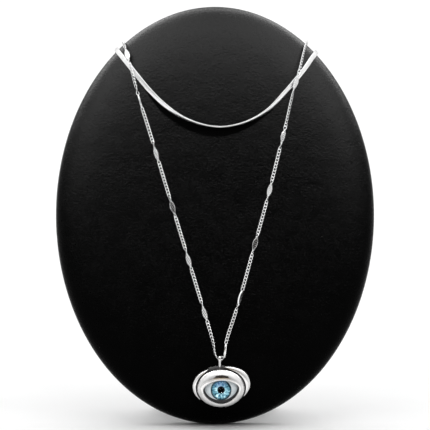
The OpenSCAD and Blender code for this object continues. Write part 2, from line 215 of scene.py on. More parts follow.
def stride(a, b, size=3):
    """How far two rows are apart by their first numbers, as many as size says."""
    return (Vector(b[:size]) - Vector(a[:size])).length


def curve(rows, steps, size=3):
    """A smooth curve through rows, with so many steps between each two."""
    rows = [Vector(row) for row in rows]
    strides = [stride(a, b, size) for a, b in zip(rows, rows[1:])]
    jumps = [(b - a) / d for a, b, d in zip(rows, rows[1:], strides)]
    slopes = [jumps[0]]
    for i in range(1, len(jumps)):
        a, b = strides[i - 1], strides[i]
        slopes.append((jumps[i - 1] * b + jumps[i] * a) / (a + b))
    slopes.append(jumps[-1])
    points = []
    for i, d in enumerate(strides):
        for j in range(steps):
            t = j / steps
            t2 = t * t
            t3 = t2 * t
            points.append(
                rows[i] * (2 * t3 - 3 * t2 + 1) + slopes[i] * (d * (t3 - 2 * t2 + t))
                + rows[i + 1] * (3 * t2 - 2 * t3) + slopes[i + 1] * (d * (t3 - t2)))
    return points + [rows[-1]]


class Route:
    """A curve by its length, with a frame at each place on it."""

    def __init__(self, rows, steps):
        self.rows = curve(rows, steps)
        self.lengths = [0]
        for a, b in zip(self.rows, self.rows[1:]):
            self.lengths.append(self.lengths[-1] + stride(a, b))
        self.total = self.lengths[-1]

    def at(self, s):
        s = min(max(s, 0), self.total)
        i = min(max(bisect.bisect_right(self.lengths, s) - 1, 0), len(self.rows) - 2)
        t = (s - self.lengths[i]) / (self.lengths[i + 1] - self.lengths[i])
        return mix(self.rows[i], self.rows[i + 1], t)

    def frame(self, s, degrees=0, half=0.2):
        """A place on the curve, and the ways along, across and out there, turned by its roll and degrees."""
        before, here, after = self.at(s - half), self.at(s), self.at(s + half)
        along = (Vector(after[:3]) - Vector(before[:3])).normalized()
        normal = Vector(here[3:6])
        out = (normal - along * normal.dot(along)).normalized()
        a = radians(here[6] + degrees)
        wide = out.cross(along) * cos(a) + out * sin(a)
        return Vector(here[:3]), along, wide, along.cross(wide)


# The two strands' routes: the solids' own, but for the flat chain's rolls and a few of its places in front
LONG_HIDDEN = [
    *each(on_wall, (124.6, 4.2, 0.9), (124.6, 0.5, 0.9)),
    *each(
        on_back, (-39, 164.5, 1.6), (-36, 158, 1), (-30.5, 144, 0.8), (-23.5, 126, 0.8), (-16.5, 108, 0.8),
        (-9.5, 90, 0.8), (-5, 78.2, 0.9), (-1.71, 69.33, 1.35))]
LONG_LEFT = [
    *each(hanging, (1.3, 28.6, 23.6), (0.55, 29.55, 23.6), (-0.9, 36, 23.8), (-4.4, 48.3, 24.1)),
    *each(
        on_pad, (-8.1, 60.5, 1), (-11.7, 72.5, 1), (-19, 96.5, 0.9), (-25.9, 119.3, 1.1), (-29.6, 131.5, 1.1),
        (-32.9, 142.1, 1.3), (-34.8, 149, 1.5), (-36.4, 155.8, 2.1), (-37.7, 160.8, 1.8), (-39.1, 165.3, 1)),
    *LONG_HIDDEN]
LONG_RIGHT = [
    *each(hanging, (2.9, 28.6, 23.6), (3.65, 29.55, 23.6), (4.9, 36, 23.8), (8.8, 48.3, 24.1)),
    *each(
        on_pad, (12.4, 60.5, 1.35), (15.8, 72.9, 1), (22.3, 96.5, 0.9), (28, 119.3, 1.1), (31, 131.5, 1.25),
        (33.3, 142.1, 1.3), (34.9, 149, 2.1), (36.1, 153.1, 2.6), (37.8, 160.1, 1.8), (39.1, 165.3, 1)),
    *mirrored(LONG_HIDDEN)]


def flat_hidden(edge):
    """The flat chain's way over the board's edge at an angle, and down its back."""
    return [
        on_rim(edge, 0.993, 0.75, 2), on_wall(edge, 4, 0.75), on_wall(edge, 0.8, 0.7),
        *each(
            on_back, (-42.6, 161.6, 0.9), (-39.5, 155.5, 0.7), (-33.5, 141.5, 0.7), (-26.5, 125, 0.7),
            (-19.5, 108, 0.7), (-12.5, 90, 0.7), (-7.8, 77.5, 0.9), (-4.22, 68.34, 1.35))]


FLAT_EDGE_LEFT = 127.75
FLAT_EDGE_RIGHT = 129
FLAT_LEFT = [
    *each(
        on_pad, (-5.3, 131.5, 1.3, 78), (-14.3, 134.8, 1.3, 58), (-21.3, 139.5, 1.15, 38),
        (-27.9, 145.7, 0.9, 22), (-33.5, 152.3, 0.8, 12), (-37.3, 157.1, 0.75, 8), (-40.7, 161.4, 0.7, 4)),
    *flat_hidden(FLAT_EDGE_LEFT)]
FLAT_RIGHT = [
    *each(
        on_pad, (9.2, 131.4, 1.3, 80), (17.2, 134.2, 1.3, 66), (23.6, 138.3, 1.3, 50), (29.6, 144.5, 1.2, 36),
        (35.8, 151.7, 1.05, 24), (39.6, 156.6, 0.9, 16), (42.2, 160.5, 0.75, 8)),
    *mirrored(flat_hidden(FLAT_EDGE_RIGHT))]

long_route = Route(LONG_LEFT[::-1] + [hanging(*BAIL_PLACE)] + LONG_RIGHT, LONG_STEPS)
flat_route = Route(FLAT_LEFT[::-1] + [on_pad(2.2, 130.6, 1.3, 90)] + FLAT_RIGHT, FLAT_STEPS)
bail_at = long_route.lengths[len(LONG_LEFT) * LONG_STEPS]
# Where the stations are along the route. Counted from the bail, those from EDGE_LEFT and EDGE_RIGHT on are
# slipped a little along the chain.
station_stops = [
    bail_at - FIRST_LEFT - i * STATION_PITCH + (0 if i < EDGE_LEFT else EDGE_SLIP_LEFT)
    for i in reversed(range(STATIONS_LEFT))]
station_stops += [
    bail_at + FIRST_RIGHT + i * STATION_PITCH + (0 if i < EDGE_RIGHT else EDGE_SLIP_RIGHT)
    for i in range(STATIONS_RIGHT)]
# How each station is turned about the chain, in degrees. The solids of station_05, station_15 and station_16
# have 20, 45 and 30.
STATION_TURNS = [0, 0, 0, 0, -10, 85, 30, 0, 20, 25, 82, 60, 5, 15, 40, 14, 10, 0, 0, 0, 0]
# Places in that list of stations whose slots are polished silver too, a painted highlight where they catch
# the light, and of two whose slots are a darker oxide, as painted shade
PAINTED_LIT_STATIONS = (4, 13, 15)
PAINTED_SHADED_STATIONS = (7, 12)


# Mesh helpers
class Shape:
    """Points and faces gathered in millimetres, with a material number for each face."""

    def __init__(self):
        self.points = []
        self.faces = []
        self.kinds = []

    def skin(self, rings, closed=False, kinds=None):
        """A skin over a stack of rings, capped unless closed. kinds has a material number for each gap."""
        first = len(self.points)
        count, size = len(rings), len(rings[0])
        for ring in rings:
            self.points.extend(ring)
        for i in range(count if closed else count - 1):
            low = first + i * size
            high = first + (i + 1) % count * size
            kind = kinds[i] if kinds else 0
            for j in range(size):
                k = (j + 1) % size
                self.faces.append((low + j, low + k, high + k, high + j))
                self.kinds.append(kind)
        if not closed:
            self.faces.append([first + j for j in reversed(range(size))])
            self.faces.append([first + (count - 1) * size + j for j in range(size)])
            self.kinds.extend((kinds[0], kinds[-1]) if kinds else (0, 0))

    def piece(self, name, body, materials, slot, replaced, sharp=40):
        """The object of this shape, in metres."""
        mesh = bpy.data.meshes.new(name)
        mesh.from_pydata([p * MM for p in self.points], [], self.faces)
        mesh.polygons.foreach_set("material_index", self.kinds)
        for material in materials:
            mesh.materials.append(material)
        return finished(mesh, name, body, replaced, sharp)


def into_scene(name, data):
    made = bpy.data.objects.new(name, data)
    bpy.context.scene.collection.objects.link(made)
    return made


def finished(mesh, name, body, replaced, sharp=40):
    """An object of a mesh, smooth and facing outwards, with its body and what it stands for."""
    build = bmesh.new()
    build.from_mesh(mesh)
    bmesh.ops.recalc_face_normals(build, faces=build.faces)
    build.to_mesh(mesh)
    build.free()
    mesh.polygons.foreach_set("use_smooth", [True] * len(mesh.polygons))
    mesh.set_sharp_from_angle(angle=radians(sharp))
    piece = into_scene(name, mesh)
    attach(piece, body)
    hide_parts(*replaced)
    return piece


# Material helpers
class Nodes:
    """The nodes of a material or of the world."""

    def __init__(self, owner):
        owner.use_nodes = True
        self.nodes = owner.node_tree.nodes
        self.links = owner.node_tree.links

    def node(self, kind, inputs=None, **settings):
        made = self.nodes.new("ShaderNode" + kind)
        for key, value in settings.items():
            setattr(made, key, value)
        for key, value in (inputs or {}).items():
            if isinstance(value, bpy.types.NodeSocket):
                self.links.new(value, made.inputs[key])
            else:
                made.inputs[key].default_value = value
        return made

    def ramp(self, fac, *stops):
        """A colour ramp. Each stop is a place and a colour, or a place and a grey."""
        made = self.node("ValToRGB", {"Fac": fac})
        marks = made.color_ramp.elements
        while len(marks) < len(stops):
            marks.new(0.5)
        for mark, (place, colour) in zip(marks, stops):
            mark.position = place
            mark.color = (*colour, 1) if isinstance(colour, tuple) else (colour, colour, colour, 1)
        return made.outputs["Color"]

    def math(self, operation, a, b=0.0, c=0.0):
        return self.node("Math", {0: a, 1: b, 2: c}, operation=operation).outputs[0]

    def vector(self, operation, a, b=(0, 0, 0)):
        made = self.node("VectorMath", {0: a, 1: b}, operation=operation)
        return made.outputs["Value" if operation in ("LENGTH", "DOT_PRODUCT") else "Vector"]

    def part(self, vector, axis):
        return self.node("SeparateXYZ", {0: vector}).outputs[axis]

    def blend(self, fac, a, b, how="MIX"):
        made = self.node("MixRGB", {"Fac": fac, "Color1": a, "Color2": b}, blend_type=how)
        return made.outputs["Color"]


class Finish(Nodes):
    """A procedural material. Constant values go straight on the shader's own sockets."""

    def __init__(self, name, **sockets):
        self.material = bpy.data.materials.new(name)
        super().__init__(self.material)
        self.shader = self.nodes["Principled BSDF"]
        for socket, value in sockets.items():
            self.shader.inputs[socket.replace("_", " ")].default_value = value
        self.place = self.node("TexCoord").outputs["Object"]

    def noise(self, size, detail=2, vector=None):
        """Noise whose lumps are about size millimetres across."""
        inputs = {"Vector": vector or self.place, "Scale": 1 / (size * MM), "Detail": detail}
        return self.node("TexNoise", inputs).outputs["Fac"]

    def cells(self, size):
        return self.node("TexVoronoi", {"Vector": self.place, "Scale": 1 / (size * MM)})

    def into(self, socket, value, *stops):
        """Links a value to the shader, through a ramp if stops are given."""
        self.links.new(self.ramp(value, *stops) if stops else value, self.shader.inputs[socket])

    def bump(self, height, strength, depth):
        """Bump whose full height is depth millimetres."""
        made = self.node("Bump", {"Height": height, "Strength": strength, "Distance": depth * MM})
        self.into("Normal", made.outputs["Normal"])


# Materials

# A shadow of the flat chain's standing edge is painted on the board under it. Square to the board, the chain
# is a parabola. These are its lowest point, across and up, how fast it rises, how far below it the painted
# shadow reaches, and the width that the ramp along it spans.
CHAIN_SHADOW_LOW = (1.2, 131)
CHAIN_SHADOW_RISE = 0.0176
CHAIN_SHADOW_DEEP = 5.3
CHAIN_SHADOW_SPAN = 80


def painted_chain_shadow(skin):
    """How much painted shadow of the flat chain a point of the board gets, from 0 to 1."""
    place = skin.vector("SUBTRACT", skin.place, (0, BOARD_Y * MM, -FOOT_CUT * MM))
    up = skin.math("DIVIDE", skin.vector("DOT_PRODUCT", place, (0, sin(LEAN), cos(LEAN))), MM)
    across = skin.math("DIVIDE", skin.part(place, "X"), MM)
    side = skin.math("SUBTRACT", across, CHAIN_SHADOW_LOW[0])
    line = skin.math("MULTIPLY_ADD", skin.math("MULTIPLY", side, side), CHAIN_SHADOW_RISE, CHAIN_SHADOW_LOW[1])
    below = skin.math("SUBTRACT", line, up)
    span = skin.math("MULTIPLY_ADD", across, 1 / CHAIN_SHADOW_SPAN, 0.5)
    reach_down = skin.ramp(span, (0.04, 0.0), (0.2, 1.0), (0.55, 1.0), (0.8, 0.7), (0.96, 0.0))
    share = skin.math("DIVIDE", below, skin.math("MULTIPLY", reach_down, CHAIN_SHADOW_DEEP))
    return skin.ramp(share, (0.0, 0.0), (0.08, 1.0), (0.8, 1.0), (1.0, 0.0))


def leatherette_finish():
    """Black leatherette with a fine soft grain, and a painted shadow under the flat chain."""
    skin = Finish("leatherette", Specular_IOR_Level=0.012)
    drawn = skin.vector("MULTIPLY", skin.place, (0.6, 1, 1))
    grain = skin.noise(0.75, 2, drawn)
    pores = skin.noise(0.35)
    waves = skin.noise(9)
    height = skin.math("MULTIPLY_ADD", grain, 0.6, skin.math("MULTIPLY_ADD", pores, 0.5, waves))
    skin.bump(height, 0.9, 0.24)
    tone = skin.ramp(skin.noise(26, 3), (0.3, 0.00004), (0.7, 0.0001))
    dust = skin.cells(13)
    near = skin.ramp(dust.outputs["Distance"], (0.0, 1.0), (0.014, 0.0))
    rare = skin.ramp(dust.outputs["Color"], (0.72, 0.0), (0.74, 1.0))
    specks = skin.math("MULTIPLY", near, rare)
    skin.into("Base Color", skin.blend(specks, tone, (0.03, 0.029, 0.027, 1)))
    spread = skin.math("MULTIPLY_ADD", skin.noise(0.8), 0.5, skin.math("MULTIPLY", skin.noise(5, 3), 0.5))
    skin.into("Roughness", spread, (0.3, 0.19), (0.7, 0.34))
    # Painted shadow: the specular tint goes near black in the band under the flat chain.
    skin.into("Specular Tint", painted_chain_shadow(skin), (0.0, 1.0), (1.0, 0.06))
    return skin.material


def backing_finish():
    paper = Finish("backing_paper", Specular_IOR_Level=0.2)
    fibres = paper.noise(0.5, 4, paper.vector("MULTIPLY", paper.place, (1, 1, 0.35)))
    paper.into("Base Color", fibres, (0.3, (0.006, 0.006, 0.0065)), (0.7, (0.014, 0.014, 0.015)))
    paper.into("Roughness", fibres, (0.2, 0.8), (0.8, 0.95))
    paper.bump(fibres, 0.4, 0.08)
    return paper.material


def leg_board_finish():
    card = Finish("leg_board", Specular_IOR_Level=0.25)
    bands = {"Vector": card.place, "Scale": 480, "Distortion": 2.0, "Detail": 2}
    threads = [card.node("TexWave", bands, bands_direction=way).outputs["Fac"] for way in ("X", "Z")]
    cloth = card.math("MULTIPLY", *threads)
    card.into("Base Color", cloth, (0.0, (0.004, 0.004, 0.0045)), (1.0, (0.016, 0.016, 0.017)))
    card.into("Roughness", card.noise(3), (0.2, 0.6), (0.8, 0.8))
    card.bump(cloth, 0.4, 0.06)
    return card.material


def dark_metal_finish():
    metal = Finish("dark_metal", Metallic=1.0)
    wear = metal.noise(1.2, 4)
    metal.into("Base Color", wear, (0.3, (0.04, 0.04, 0.043)), (0.8, (0.1, 0.1, 0.105)))
    metal.into("Roughness", wear, (0.2, 0.3), (0.8, 0.5))
    return metal.material


def silver_finish(name, bright, dull, rough, dents):
    """Polished silver, with its bright and dull colours, its roughness, and the depth of its soft waves."""
    metal = Finish(name, Metallic=1.0)
    tarnish = metal.noise(2.4, 3)
    metal.into("Base Color", tarnish, (0.3, dull), (0.62, bright))
    scratches = metal.noise(0.12, 2, metal.vector("MULTIPLY", metal.place, (1, 1, 0.12)))
    metal.into("Roughness", scratches, (0.35, rough * 0.7), (0.75, rough * 1.5))
    height = metal.math("MULTIPLY_ADD", scratches, 0.01, metal.noise(3.2, 1))
    metal.bump(height, 1.0, dents)
    return metal.material


def oxidised_finish(name, dark, light):
    """Silver that was left dark where polish doesn't reach."""
    metal = Finish(name, Metallic=1.0)
    patches = metal.noise(0.5, 4)
    metal.into("Base Color", patches, (0.3, dark), (0.8, light))
    metal.into("Roughness", patches, (0.2, 0.42), (0.8, 0.62))
    metal.bump(patches, 0.5, 0.03)
    return metal.material


def from_iris(glass):
    """The way from the iris's middle, the same as the front shows it, and its length in radii of the iris."""
    way = glass.vector("SUBTRACT", glass.place, tuple(at_bail(IRIS_MID, 0) * MM))
    flat = glass.vector("MULTIPLY", way, (1, 0, 1))
    return way, flat, glass.math("DIVIDE", glass.vector("LENGTH", flat), IRIS_D / 2 * MM)


def eye_white_finish():
    """White glass, darker towards its corners with painted shade, with a green tint at one side and a dark
    ring round the iris.
    """
    corner_x = 8.2 * MM
    tint_mid = (-2.6 * MM, 0, 3.2 * MM)
    tint_r = 4.5 * MM
    glass = Finish("eye_white", Roughness=0.22, Coat_Weight=0.6, Coat_Roughness=0.05, Specular_IOR_Level=0.5)
    place, _, radius = from_iris(glass)
    side = glass.math("ABSOLUTE", glass.part(place, "X"))
    # Painted shade: the ramp's last stop darkens the white towards the corners of the opening.
    corner = glass.ramp(
        glass.math("DIVIDE", side, corner_x),
        (0.5, (0.82, 0.89, 0.92)), (0.8, (0.78, 0.85, 0.88)), (0.95, (0.45, 0.5, 0.52)))
    mottle = glass.ramp(glass.noise(1.6, 3), (0.3, 0.86), (0.7, 1.0))
    tone = glass.blend(1.0, corner, mottle, "MULTIPLY")
    from_tint = glass.vector("LENGTH", glass.vector("SUBTRACT", place, tint_mid))
    tint = glass.ramp(glass.math("DIVIDE", from_tint, tint_r), (0.3, 0.5), (1.0, 0.0))
    green = glass.blend(tint, tone, (0.36, 0.46, 0.38, 1))
    ring = glass.ramp(radius, (0.985, 1.0), (1.03, 0.85), (1.1, 0.0))
    glass.into("Base Color", glass.blend(ring, green, (0.03, 0.06, 0.075, 1)))
    glass.bump(glass.noise(0.7), 0.15, 0.03)
    return glass.material


def iris_finish():
    """Fibres that run out from the pupil, in a pale ring, an aqua field and a dark teal edge."""
    glass = Finish("iris", Roughness=0.5, Specular_IOR_Level=0.0)
    _, flat, radius = from_iris(glass)
    way = glass.vector("NORMALIZE", flat)
    waver = glass.noise(0.9)
    bent = glass.math("MULTIPLY_ADD", glass.math("SUBTRACT", waver, 0.5), 0.16, radius)

    def streaks(around, outward, detail, rough):
        """Noise of about so many lumps round the iris, each drawn out along the radius."""
        steps = glass.node("CombineXYZ", {1: glass.math("MULTIPLY", bent, outward)}).outputs[0]
        spread = glass.vector("ADD", way, steps)
        inputs = {"Vector": spread, "Scale": around / tau, "Detail": detail, "Roughness": rough}
        return glass.node("TexNoise", inputs).outputs["Fac"]

    fibres = streaks(70, 0.3, 4, 0.6)
    petals = streaks(20, 0.9, 2, 0.5)
    light = glass.math("MULTIPLY_ADD", fibres, 0.55, glass.math("MULTIPLY", petals, 0.5))
    near = glass.ramp(radius, (0.4, 0.07), (0.72, 0.0))
    lit = glass.math("ADD", light, near)
    aqua = glass.ramp(
        lit, (0.44, (0.012, 0.055, 0.09)), (0.49, (0.05, 0.18, 0.26)), (0.54, (0.15, 0.38, 0.48)),
        (0.6, (0.42, 0.7, 0.77)), (0.69, (0.8, 0.95, 0.97)))
    upper = glass.ramp(glass.part(way, "Z"), (0.3, 0.0), (0.95, 0.95))
    violet = glass.blend(glass.math("MULTIPLY", upper, petals), aqua, (0.05, 0.065, 0.27, 1))
    right = glass.ramp(glass.vector("DOT_PRODUCT", way, (0.82, 0.0, 0.57)), (0.7, 0.0), (1.0, 0.8))
    shade = glass.math("MULTIPLY", right, glass.ramp(radius, (0.55, 0.0), (0.85, 1.0)))
    teal = glass.blend(shade, violet, (0.012, 0.05, 0.065, 1))
    edge = glass.ramp(bent, (0.74, 0.0), (0.84, 0.5), (0.95, 0.97))
    glass.into("Base Color", glass.blend(edge, teal, (0.008, 0.024, 0.034, 1)))
    glass.bump(light, 0.5, 0.1)
    return glass.material


def pupil_finish():
    glass = Finish("pupil", Roughness=0.5, Specular_IOR_Level=0.0)
    depth = glass.noise(0.5)
    glass.into("Base Color", depth, (0.3, (0.001, 0.001, 0.002)), (0.7, (0.002, 0.003, 0.005)))
    return glass.material


def cornea_finish():
    glass = Finish("cornea", Transmission_Weight=1.0, IOR=1.12, Base_Color=(0.97, 0.99, 1.0, 1))
    glass.into("Roughness", glass.noise(1.5), (0.2, 0.0), (0.8, 0.03))
    return glass.material


# Board: a leatherette front over a straight wall, turned over the back edge round a paper backing
def board_rows():
    """Half width, half height and place out of each ring, from the middle of the back to the front."""
    hem_w = 9
    hem_t = 0.2
    rows = [(share * (HALF_W - hem_w), share * (HALF_H - hem_w), hem_t) for share in (0.1, 0.5, 0.9, 0.995)]
    for step, out in ((0, hem_t), (0.1, 0.05), (0.35, 0)):
        rows.append((HALF_W - hem_w + step, HALF_H - hem_w + step, out))
    kinds = [1] * (len(rows) - 1)
    for degrees in range(0, 91, 15):
        a = radians(degrees)
        inset = BACK_ROUND * (1 - sin(a))
        rows.append((HALF_W - inset, HALF_H - inset, BACK_ROUND * (1 - cos(a))))
    front_steps = 64
    for i in range(front_steps):
        a = pi / 2 * (1 - (1 - i / front_steps) ** 1.3)
        r = cos(a) ** (2 / PAD_POWER)
        rows.append((HALF_W * r, HALF_H * r, WALL_OUT + CROWN * sin(a) ** (2 / PAD_POWER)))
    kinds += [0] * (len(rows) - 1 - len(kinds))
    return rows, kinds


def board(leatherette, backing):
    steps_around = 256
    rows, kinds = board_rows()
    rings = []
    for half_w, half_h, out in rows:
        ring = []
        for a in turns(steps_around):
            p = stand((half_w * cos(a), HALF_H + half_h * sin(a), out))
            p.z = max(p.z, 0)
            ring.append(p)
        rings.append(ring)
    shape = Shape()
    shape.skin(rings, kinds=kinds)
    return shape.piece("padded_board", "display", [leatherette, backing], "leatherette", ["display_board"])


def easel_leg(card):
    """A tapered card with eased edges, cut level at its foot and flush with the board's back."""
    spare_l = 4
    hinge = stand((0, LEG_TOP, 0))
    leg_l = hinge.z / cos(LEG_ANGLE) + spare_l
    down = Vector((0, sin(LEG_ANGLE), -cos(LEG_ANGLE)))
    thick = Vector((0, cos(LEG_ANGLE), sin(LEG_ANGLE)))
    build = bmesh.new()
    corners = []
    for depth in (0, LEG_T):
        for wide, low in ((-LEG_TOP_W, 0), (LEG_TOP_W, 0), (LEG_FOOT_W, leg_l), (-LEG_FOOT_W, leg_l)):
            corner = hinge + Vector((wide / 2, 0, 0)) + down * low + thick * depth
            corners.append(build.verts.new(corner * MM))
    for face in ((0, 1, 2, 3), (7, 6, 5, 4), (0, 4, 5, 1), (1, 5, 6, 2), (2, 6, 7, 3), (3, 7, 4, 0)):
        build.faces.new([corners[i] for i in face])
    board_back = Vector((0, cos(LEAN), -sin(LEAN)))
    cuts = ((Vector((0, 0, 0)), Vector((0, 0, -1))), (stand((0, 0, -CLEAR)) * MM, -board_back))
    for point, normal in cuts:
        everything = build.verts[:] + build.edges[:] + build.faces[:]
        bmesh.ops.bisect_plane(build, geom=everything, plane_co=point, plane_no=normal, clear_outer=True)
        bmesh.ops.holes_fill(build, edges=[e for e in build.edges if e.is_boundary])
    bmesh.ops.bevel(
        build, geom=build.edges[:], offset=EASE * MM, segments=3, profile=0.5, affect="EDGES",
        clamp_overlap=True)
    bmesh.ops.triangulate(build, faces=[f for f in build.faces if len(f.verts) > 4])
    mesh = bpy.data.meshes.new("leg_card")
    build.to_mesh(mesh)
    build.free()
    mesh.materials.append(card)
    return finished(mesh, "leg_card", "display", ["easel_leg"])


# Flat chain: a band of narrow links, each a shallow ridge across it with its middle swept forward
def flat_chain(silver):
    link_pitch = 0.42
    link_shares = (0, 0.3, 0.7)
    groove = 0.93
    sides = 20
    power = 2.7
    sweep = 0.16
    count = round(flat_route.total / link_pitch)
    rings = []
    for i in range(count):
        for share in link_shares:
            s = flat_route.total * (i + share) / count
            here, along, wide, thin = flat_route.frame(s)
            scale = groove if share == 0 else 1
            ring = []
            for t in turns(sides):
                x = FLAT_W / 2 * signed_power(cos(t), 2 / power)
                y = FLAT_T / 2 * signed_power(sin(t), 2 / power) * scale
                lead = sweep * (1 - abs(2 * x / FLAT_W)) if 0 < i < count - 1 else 0
                ring.append(stand(here + wide * x + thin * y + along * lead))
            rings.append(ring)
    shape = Shape()
    shape.skin(rings)
    return shape.piece("flat_strand", "display", [silver], "bright_silver", ["flat_chain"], sharp=80)


# Curb chain: oval wire links, each twisted so that it lies flat against the next
LINK_HALF = 0.89
LINK_HALF_W = 0.61
LINK_WIRE_R = 0.19
LINK_TWIST = radians(34)
LINK_FLAT = 0.26
LINK_PITCH = 1.42
TIP_L = 0.45
EYE_AT = STATION_L / 2 - TIP_L
# The links' turn where they lie by themselves, in degrees. Three stretches, by number, lie more on edge.
LINK_REST = 10
LINK_REST_ON_EDGE = {5: 42, 15: 46, 16: 46}
# The share of a stretch at each end in which the links settle to that turn
LINK_SETTLE = 0.14
# The links hang edge on by the bail: their extra turn there, and the lengths that it fades in on each side
BAIL_TURN = 68
BAIL_NEAR = (13, 5)
# Extra turn of the links next to a station, so that the end wire goes through its eye
END_TURNS = (56, 20)


def add_link(shape, centre, along, across, out):
    """One link about a centre: a wire ring, twisted along its length and filed flat on both faces."""
    steps = 26
    sides = 8
    power = 0.9
    # The wire's inner sides get the oxidised metal: tarnish where polish doesn't reach, and painted shade
    # inside the link
    dark_sides = (3, 4)
    rings = []
    for t in turns(steps):
        x = LINK_HALF * signed_power(cos(t), power)
        y = LINK_HALF_W * signed_power(sin(t), power)
        outward = Vector((cos(t) / LINK_HALF, sin(t) / LINK_HALF_W)).normalized()
        ring = []
        for a in turns(sides):
            px = x + outward.x * LINK_WIRE_R * cos(a)
            py = y + outward.y * LINK_WIRE_R * cos(a)
            pz = LINK_WIRE_R * sin(a)
            twist = LINK_TWIST * px / LINK_HALF
            qy = py * cos(twist) - pz * sin(twist)
            qz = py * sin(twist) + pz * cos(twist)
            qz = min(max(qz, -LINK_FLAT), LINK_FLAT)
            ring.append(stand(centre + along * px + across * qy + out * qz))
        rings.append(ring)
    first_face = len(shape.faces)
    shape.skin(rings, closed=True)
    for k in range(first_face, len(shape.faces)):
        if (k - first_face) % sides in dark_sides:
            shape.kinds[k] = 1


def add_links(shape, start, end, rest, start_turn, end_turn, start_eye, end_eye):
    """Links from one place to another, turned by rest, and turning to meet what they join at each end."""
    room = end - start - 2 * LINK_HALF
    count = round(room / LINK_PITCH) + 1
    pitch = room / (count - 1)
    for i in range(count):
        s = start + LINK_HALF + i * pitch
        middle = mix(long_route.at(s - pitch / 2), long_route.at(s + pitch / 2), 0.5)
        share = i / (count - 1)
        near_start, near_end = smooth(LINK_SETTLE, 0, share), smooth(1 - LINK_SETTLE, 1, share)
        degrees = rest + (start_turn - rest) * near_start + (end_turn - rest) * near_end
        degrees += BAIL_TURN * exp(-((s - bail_at) / BAIL_NEAR[s > bail_at]) ** 2)
        if start_eye and i < len(END_TURNS):
            degrees -= END_TURNS[i]
        if end_eye and count - 1 - i < len(END_TURNS):
            degrees += END_TURNS[count - 1 - i]
        ways = long_route.frame(s, degrees, pitch / 2)[1:]
        add_link(shape, Vector(middle[:3]), *ways)


def curb_chain(name, materials, first, last, node):
    """Stretches of links, from the one numbered first to the one numbered last."""
    bar_gap = LINK_WIRE_R - 0.35
    shape = Shape()
    for i in range(first, last + 1):
        at_start, at_end = i == 0, i == len(station_stops)
        start = bar_gap if at_start else station_stops[i - 1] + EYE_AT
        end = long_route.total - bar_gap if at_end else station_stops[i] - EYE_AT
        start_turn = STATION_TURNS[max(i - 1, 0)]
        end_turn = STATION_TURNS[min(i, len(STATION_TURNS) - 1)]
        rest = LINK_REST_ON_EDGE.get(i, LINK_REST)
        add_links(shape, start, end, rest, start_turn, end_turn, not at_start, not at_end)
    return shape.piece(name, "display", materials, "silver", [node], sharp=50)


# Stations: marquise plates with a raised rim, slanting ribs with dark slots between, and an eye at each end
RIBS = 5
RIB_PITCH = 0.95
RIB_HALF = 0.25
RIB_SLANT = radians(38)
RIB_RISE = 0.07
RIM_W = 0.2
PLATE_END = 2.74


def station_half_w(y):
    """Half the plate's width at a place along it, between two arcs that meet beyond its tips."""
    point_l = STATION_L - TIP_L
    arc_r = ((point_l / 2) ** 2 + (STATION_W / 2) ** 2) / STATION_W
    return STATION_W / 2 - sag(arc_r, y)


def rib_height(middle):
    """How raised the row is that crosses the plate's middle there: 1 on a rib or at a tip, 0 in a slot."""
    nearest = min(max(round(middle / RIB_PITCH), -(RIBS // 2)), RIBS // 2)
    rib = 1 - smooth(RIB_HALF - RIB_RISE / 2, RIB_HALF + RIB_RISE / 2, abs(middle - nearest * RIB_PITCH))
    tip = smooth(RIBS // 2 * RIB_PITCH + 0.5, RIBS // 2 * RIB_PITCH + 0.6, abs(middle))
    return max(rib, tip)


def station_rows():
    """Where the plate's rows cross its middle: close together at each side of a rib, and evenly between."""
    rises = (-RIB_RISE / 2, -RIB_RISE / 6, RIB_RISE / 6, RIB_RISE / 2)
    marks = {0.0}
    for rib in range(-(RIBS // 2), RIBS // 2 + 1):
        for side in (-1, 1):
            marks.update(rib * RIB_PITCH + side * (RIB_HALF + rise) for rise in rises)
        marks.update((rib * RIB_PITCH, rib * RIB_PITCH + RIB_PITCH / 2))
    marks.update(side * mark for side in (-1, 1) for mark in (2.4, 2.44, 2.48, 2.52, 2.6, 2.68, PLATE_END))
    return sorted(mark for mark in marks if abs(mark) <= PLATE_END)


def station_row(middle):
    """Points of one row across the plate, slanted like the ribs and square to the plate at its tips."""
    rows_across = 22
    slope = -tan(RIB_SLANT) * (1 - smooth(2.2, PLATE_END, abs(middle)))
    edges = []
    for side in (-1, 1):
        x = side * station_half_w(middle)
        for _ in range(30):
            y = min(max(middle + slope * x, -PLATE_END), PLATE_END)
            x = mix(x, side * station_half_w(y), 0.7)
        edges.append(x)
    row = []
    for j in range(rows_across + 1):
        x = mix(edges[0], edges[1], (1 - cos(pi * j / rows_across)) / 2)
        row.append((x, middle + slope * x))
    return row


def station_height(x, y, raised):
    full, floor, edge = STATION_T / 2, STATION_T * 0.2, STATION_T * 0.32
    inset = station_half_w(min(abs(y), PLATE_END)) - abs(x)
    rim = 1 - smooth(RIM_W, RIM_W + 0.08, inset)
    return mix(edge, mix(floor, full, max(rim, raised)), smooth(0, 0.12, inset))


def add_station(shape, place, wide, along, thin):
    slot_height = STATION_T * 0.42
    rings = []
    for middle in station_rows():
        raised = rib_height(middle)
        face = [(x, y, station_height(x, y, raised)) for x, y in station_row(middle)]
        outline = face + [(x, y, -z) for x, y, z in reversed(face)]
        rings.append([place + wide * x + along * y + thin * z for x, y, z in outline])
    first_face = len(shape.faces)
    shape.skin(rings)
    for k in range(first_face, len(shape.faces)):
        if len(shape.faces[k]) == 4:
            middle = sum((shape.points[v] for v in shape.faces[k]), Vector((0, 0, 0))) / 4 - place
            inset = station_half_w(min(abs(middle.dot(along)), PLATE_END)) - abs(middle.dot(wide))
            if abs(middle.dot(thin)) < slot_height and inset > RIM_W:
                shape.kinds[k] = 1
    add_eyes(shape, place, wide, along, thin)


